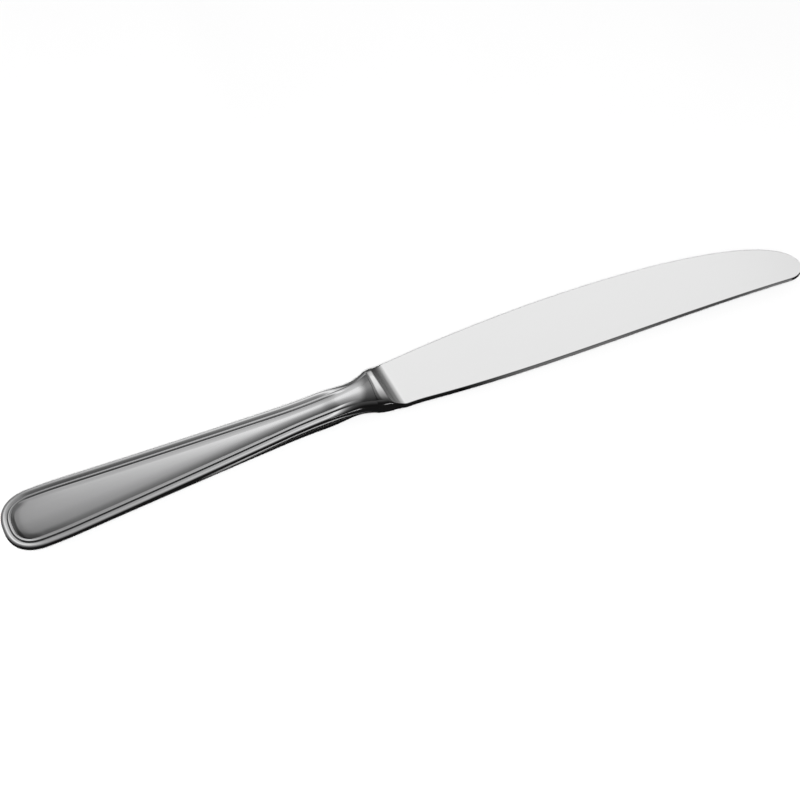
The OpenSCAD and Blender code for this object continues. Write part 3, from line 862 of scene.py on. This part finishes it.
def grainy(name, colour, roughness, metallic, grain):
    """Material with a grain of the given scale."""
    material, tree, shader = node_material(name)
    noise = object_noise(tree, grain, (1, 1, 1), GRAIN_DETAIL)
    tree.links.new(toned(tree, noise, colour, GRAIN_TONE), shader.inputs["Base Color"])
    tree.links.new(ranged(tree, noise, roughness * GRAIN_SHINE, roughness), shader.inputs["Roughness"])
    tree.links.new(bumped(tree, noise, GRAIN_BUMP, GRAIN_DEPTH), shader.inputs["Normal"])
    shader.inputs["Metallic"].default_value = metallic
    return material


class KNIFE_OT_handle_shells(bpy.types.Operator):
    """Models the two pressed halves of the handle"""

    bl_idname = "knife.handle_shells"
    bl_label = "Handle shells"

    def execute(self, context):
        scene = context.scene
        shape = HandleShape(scene.knife_handle)
        finish = scene.knife_finish
        material = steel("handle_steel", finish.handle_colour, finish.polish, finish.wear)
        rings = [shape.ring(station) for station in shape.stations()]
        half = shape.half_row(shape.stations()[-1], True)
        rings.append(across_and_back(half, half))
        for ring in rings:
            ring.append(ring[0])
        for name, side in (("front_handle_shell", 1), ("back_handle_shell", -1)):
            mesh = bmesh.new()
            shaped_grid(mesh, rings)
            bmesh.ops.scale(mesh, verts=mesh.verts[:], vec=(1, 1, side))
            finish_piece(
                mesh, name + "_smooth", shape.place, material, [name], sharp_angle=60
            )
        return {"FINISHED"}


class KNIFE_OT_seam_braze(bpy.types.Operator):
    """Models the thin braze line between the two halves of the handle"""

    bl_idname = "knife.seam_braze"
    bl_label = "Seam braze"

    def execute(self, context):
        scene = context.scene
        shape = HandleShape(scene.knife_handle)
        colour = scene.knife_finish.braze_colour
        material = grainy("braze", colour, roughness=0.3, metallic=1, grain=900)
        half = shape.seam_half
        path = [(start, start + inward * shape.sizes.wall) for start, inward, _ in shape.stations()]
        turned = [(Vector((a.x, -a.y)), Vector((b.x, -b.y))) for a, b in path[:0:-1]]
        rings = []
        for outside, inside in turned + path:
            corners = ((outside, -half), (outside, half), (inside, half), (inside, -half), (outside, -half))
            rings.append([Vector((p.x, p.y, z)) for p, z in corners])
        mesh = bmesh.new()
        shaped_grid(mesh, rings)
        bmesh.ops.remove_doubles(mesh, verts=mesh.verts[:], dist=MERGE_DISTANCE)
        ends = [edge for edge in mesh.edges if len(edge.link_faces) == 1]
        bmesh.ops.holes_fill(mesh, edges=ends, sides=4)
        finish_piece(mesh, "seam_braze_line", shape.place, material, ["seam_braze"])
        return {"FINISHED"}


class KNIFE_OT_blade(bpy.types.Operator):
    """Models the blade with its bolster, spigot and tang in one piece"""

    bl_idname = "knife.blade"
    bl_label = "Blade"

    def execute(self, context):
        scene = context.scene
        finish = scene.knife_finish
        shape = BladeShape(scene.knife_blade, HandleShape(scene.knife_handle))
        material = steel("blade_steel", finish.blade_colour, finish.polish, finish.wear)
        dulled_and_shaded(material, finish.painted_shade_tone, finish.dull_rough)
        mesh = bmesh.new()
        shaped_grid(mesh, shape.lines(), shape.dullness_and_shade())
        front = mesh.verts[:] + mesh.edges[:] + mesh.faces[:]
        bmesh.ops.mirror(mesh, geom=front, axis="Z", merge_dist=MERGE_DISTANCE)
        bmesh.ops.remove_doubles(mesh, verts=mesh.verts[:], dist=MERGE_DISTANCE)
        bmesh.ops.dissolve_degenerate(mesh, edges=mesh.edges[:], dist=MERGE_DISTANCE)
        self.add_tang(mesh, shape)
        finish_piece(
            mesh, "blade_and_bolster", shape.place, material, ["blade"], sharp_angle=24
        )
        return {"FINISHED"}

    def add_tang(self, mesh, shape):
        """Closes the rim's back and draws the spigot and the tang out of it."""
        s = shape.sizes
        back = [edge for edge in mesh.edges if len(edge.link_faces) == 1]
        face = bmesh.ops.edgeloop_fill(mesh, edges=back)["faces"][0]
        spigot = (s.spigot_half_w, s.spigot_half_h)
        tang_root = (s.tang_root_w / 2, s.tang_root_t / 2)
        tang_end = (s.tang_end_w / 2, s.tang_end_t / 2)
        drawn = ((0, spigot), (s.spigot_len, spigot), (0, tang_root), (s.tang_len, tang_end))
        for back_by, (half_w, half_h) in drawn:
            made = bmesh.ops.extrude_discrete_faces(mesh, faces=[face])
            face = made["faces"][0]
            was_w = max(abs(vert.co.y) for vert in face.verts)
            was_h = max(abs(vert.co.z) for vert in face.verts)
            bmesh.ops.scale(mesh, verts=face.verts[:], vec=(1, half_w / was_w, half_h / was_h))
            bmesh.ops.translate(mesh, verts=face.verts[:], vec=(-back_by, 0, 0))


class KNIFE_OT_cement(bpy.types.Operator):
    """Gives the cement inside the handle its finish"""

    bl_idname = "knife.cement"
    bl_label = "Cement finish"

    def execute(self, context):
        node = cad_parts["handle_cement"]
        node.data.materials.clear()
        colour = context.scene.knife_finish.cement_colour
        node.data.materials.append(grainy("cement", colour, roughness=0.95, metallic=0, grain=1500))
        return {"FINISHED"}


def add_card(name, centre, along, across, material):
    """Flat card from its middle and its two half sides, seen only as a reflection."""
    mesh = bmesh.new()
    bmesh.ops.create_grid(mesh, x_segments=1, y_segments=1, size=1)
    turn = Matrix((along, across, along.cross(across).normalized())).transposed().to_4x4()
    bmesh.ops.transform(mesh, verts=mesh.verts[:], matrix=Matrix.Translation(centre) @ turn)
    data = bpy.data.meshes.new(name)
    mesh.to_mesh(data)
    mesh.free()
    data.materials.append(material)
    card = bpy.data.objects.new(name, data)
    bpy.context.scene.collection.objects.link(card)
    card.visible_camera = False
    card.visible_diffuse = False
    card.visible_transmission = False
    card.visible_shadow = False


def grey_ramp(tree, parts, axis, places):
    """Grey that changes from place to place along one axis."""
    first, last = places[0][0], places[-1][0]
    run = tree.nodes.new("ShaderNodeMapRange")
    run.inputs["From Min"].default_value = first
    run.inputs["From Max"].default_value = last
    tree.links.new(parts.outputs[axis], run.inputs["Value"])
    ramp = tree.nodes.new("ShaderNodeValToRGB")
    points = ramp.color_ramp.elements
    while len(points) < len(places):
        points.new(0.5)
    for point, (place, grey) in zip(points, places):
        point.position = (place - first) / (last - first)
        point.color = (grey, grey, grey, 1)
    tree.links.new(run.outputs["Result"], ramp.inputs["Fac"])
    return ramp.outputs["Color"]


def graded(name, strength, ramps=()):
    """Card that reflects as a grey, which may change along one or two axes."""
    material = bpy.data.materials.new(name)
    material.use_nodes = True
    tree = material.node_tree
    tree.nodes.clear()
    output = tree.nodes.new("ShaderNodeOutputMaterial")
    emission = tree.nodes.new("ShaderNodeEmission")
    emission.inputs["Strength"].default_value = strength
    tree.links.new(emission.outputs["Emission"], output.inputs["Surface"])
    coordinates = tree.nodes.new("ShaderNodeTexCoord")
    parts = tree.nodes.new("ShaderNodeSeparateXYZ")
    tree.links.new(coordinates.outputs["Object"], parts.inputs["Vector"])
    greys = [grey_ramp(tree, parts, axis, places) for axis, places in ramps]
    if greys:
        tree.links.new(greys[0], emission.inputs["Color"])
    if len(greys) > 1:
        level = tree.nodes.new("ShaderNodeMath")
        level.operation = "MULTIPLY"
        level.inputs[1].default_value = strength
        tree.links.new(greys[1], level.inputs[0])
        tree.links.new(level.outputs["Value"], emission.inputs["Strength"])
    return material


def view_target(scene):
    """Point of the middle plane that lies in the middle of the picture."""
    studio = scene.knife_studio
    return HandleShape(scene.knife_handle).place + Vector((studio.target_x, studio.target_y, 0))


def view_back(studio):
    """Direction from the target to the camera."""
    turn, rise = studio.azimuth, studio.elevation
    return Vector((math.sin(turn) * math.cos(rise), -math.cos(turn) * math.cos(rise), math.sin(rise)))


class KNIFE_OT_studio(bpy.types.Operator):
    """Sets up the floor, the light and the camera"""

    bl_idname = "knife.studio"
    bl_label = "Studio"

    def execute(self, context):
        scene = context.scene
        studio = scene.knife_studio
        self.add_floor(scene)
        self.add_sky(scene, studio)
        self.add_tent(studio)
        self.add_camera(scene, studio)
        scene.view_settings.view_transform = "Standard"
        return {"FINISHED"}

    def add_floor(self, scene):
        """Plain pale floor at the height on which the knife lies."""
        mesh = bmesh.new()
        radius = scene.knife_studio.floor_r
        bmesh.ops.create_circle(mesh, cap_ends=True, segments=64, radius=radius)
        data = bpy.data.meshes.new("floor")
        mesh.to_mesh(data)
        mesh.free()
        colour = scene.knife_finish.floor_colour
        data.materials.append(grainy("floor", colour, roughness=0.9, metallic=0, grain=3))
        floor = bpy.data.objects.new("floor", data)
        scene.collection.objects.link(floor)

    def add_sky(self, scene, studio):
        """White surroundings, weaker where they light the floor, and a soft lamp behind the camera."""
        world = bpy.data.worlds.new("sky")
        world.use_nodes = True
        tree = world.node_tree
        rays = tree.nodes.new("ShaderNodeLightPath")
        seen = tree.nodes.new("ShaderNodeMath")
        seen.operation = "MAXIMUM"
        tree.links.new(rays.outputs["Is Camera Ray"], seen.inputs[0])
        tree.links.new(rays.outputs["Is Glossy Ray"], seen.inputs[1])
        through = tree.nodes.new("ShaderNodeMath")
        through.operation = "MAXIMUM"
        tree.links.new(seen.outputs["Value"], through.inputs[0])
        tree.links.new(rays.outputs["Is Transmission Ray"], through.inputs[1])
        level = tree.nodes.new("ShaderNodeMapRange")
        level.inputs["To Min"].default_value = studio.sky
        level.inputs["To Max"].default_value = 1
        tree.links.new(through.outputs["Value"], level.inputs["Value"])
        background = tree.nodes["Background"]
        background.inputs["Color"].default_value = (1, 1, 1, 1)
        tree.links.new(level.outputs["Result"], background.inputs["Strength"])
        scene.world = world
        data = bpy.data.lights.new("soft_lamp", "AREA")
        data.shape = "SQUARE"
        data.size = studio.lamp_size
        back = view_back(studio)
        # At level 1 this energy alone lights a white floor to white
        data.energy = studio.lamp_level * math.pi ** 2 * studio.lamp_distance ** 2 / back.z
        lamp = bpy.data.objects.new("soft_lamp", data)
        lamp.location = view_target(scene) + back * studio.lamp_distance
        lamp.rotation_euler = back.to_track_quat("Z", "Y").to_euler()
        lamp.visible_glossy = False
        scene.collection.objects.link(lamp)

    def add_tent(self, studio):
        """Cards that the steel reflects: a bright one overhead, and others upright round the knife."""
        high, deep, half = studio.tent_height, studio.tent_depth, studio.tent_half_len
        x, y, z = Vector((1, 0, 0)), Vector((0, 1, 0)), Vector((0, 0, 1))
        upright = z * high / 2
        overhead = (("X", OVERHEAD_ALONG), ("Y", OVERHEAD_ACROSS))
        behind = (("X", BACK_ALONG), ("Z", BACK_RISE))
        cards = (
            ("overhead_card", z * high, x * half, y * deep, 1.12, overhead),
            ("front_card", y * -deep + upright, x * half, upright, 0.08, (("Z", FRONT_RISE),)),
            ("back_card", y * deep + upright, x * half, upright, 0.9, behind),
            ("left_card", x * -half + upright, y * deep, upright, 0.1, ()),
            ("right_card", x * half + upright, y * deep, upright, 1, (("Z", RIGHT_RISE),)),
        )
        for name, centre, along, across, strength, ramps in cards:
            add_card(name, centre, along, across, graded(name, strength, ramps))
        self.add_floor_cards(half, deep)

    def add_floor_cards(self, half, deep):
        """Cards that stand in for the floor in the steel's reflections only, as painted reflections: dark
        before the knife, grey behind it, and light strips.
        """
        x, y, z = Vector((1, 0, 0)), Vector((0, 1, 0)), Vector((0, 0, 1))
        floors = (
            ("near_painted_reflection", FLOOR_SPLIT - deep / 2, 0.01, ()),
            ("far_painted_reflection", FLOOR_SPLIT + deep / 2, 1, (("X", FAR_FLOOR_ALONG),)),
        )
        for name, middle, strength, ramps in floors:
            centre = y * middle + z * FLOOR_LIFT
            add_card(name, centre, x * half, y * deep / 2, graded(name, strength, ramps))
        # Each strip glows and is seen only in the steel, where it paints a light line as a painted
        # reflection
        for name, middle, along, across, strength, greys in STRIPS:
            place, run, width = (Vector((*plan, 0)) * MM for plan in (middle, along, across))
            places = [(place.x + run.x * share, grey) for share, grey in greys]
            material = graded(name, strength, (("X", places),))
            add_card(name, place + z * STRIP_LIFT, run, width, material)

    def add_camera(self, scene, studio):
        """Camera on the knife from its spine side, high over the floor."""
        back = view_back(studio)
        camera = bpy.data.cameras.new("camera")
        camera.sensor_width = studio.sensor_w
        camera.lens = studio.lens
        camera.clip_start = studio.clip_start
        view = bpy.data.objects.new("camera", camera)
        view.location = view_target(scene) + back * studio.distance
        view.rotation_euler = back.to_track_quat("Z", "Y").to_euler()
        scene.collection.objects.link(view)
        scene.camera = view


class KNIFE_PT_sidebar(bpy.types.Panel):
    """Lists the knife's pieces and its studio"""

    bl_idname = "KNIFE_PT_sidebar"
    bl_label = "Dessert knife"
    bl_space_type = "VIEW_3D"
    bl_region_type = "UI"
    bl_category = "Knife"

    def draw(self, context):
        for operator in OPERATORS:
            self.layout.operator(operator.bl_idname)


OPERATORS = (
    KNIFE_OT_handle_shells,
    KNIFE_OT_seam_braze,
    KNIFE_OT_blade,
    KNIFE_OT_cement,
    KNIFE_OT_studio,
)
GROUPS = {
    "knife_handle": HandleSizes,
    "knife_blade": BladeSizes,
    "knife_finish": FinishSettings,
    "knife_studio": StudioSettings,
}


def register():
    """Registers the settings, the operators and the panel."""
    for name, group in GROUPS.items():
        bpy.utils.register_class(group)
        setattr(bpy.types.Scene, name, bpy.props.PointerProperty(type=group))
    for operator in OPERATORS:
        bpy.utils.register_class(operator)
    bpy.utils.register_class(KNIFE_PT_sidebar)


def unregister():
    """Takes away all that register added."""
    bpy.utils.unregister_class(KNIFE_PT_sidebar)
    for operator in reversed(OPERATORS):
        bpy.utils.unregister_class(operator)
    for name, group in GROUPS.items():
        delattr(bpy.types.Scene, name)
        bpy.utils.unregister_class(group)


def main():
    """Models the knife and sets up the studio."""
    register()
    bpy.ops.knife.handle_shells()
    bpy.ops.knife.seam_braze()
    bpy.ops.knife.blade()
    bpy.ops.knife.cement()
    bpy.ops.knife.studio()


if __name__ == "__main__":
    main()
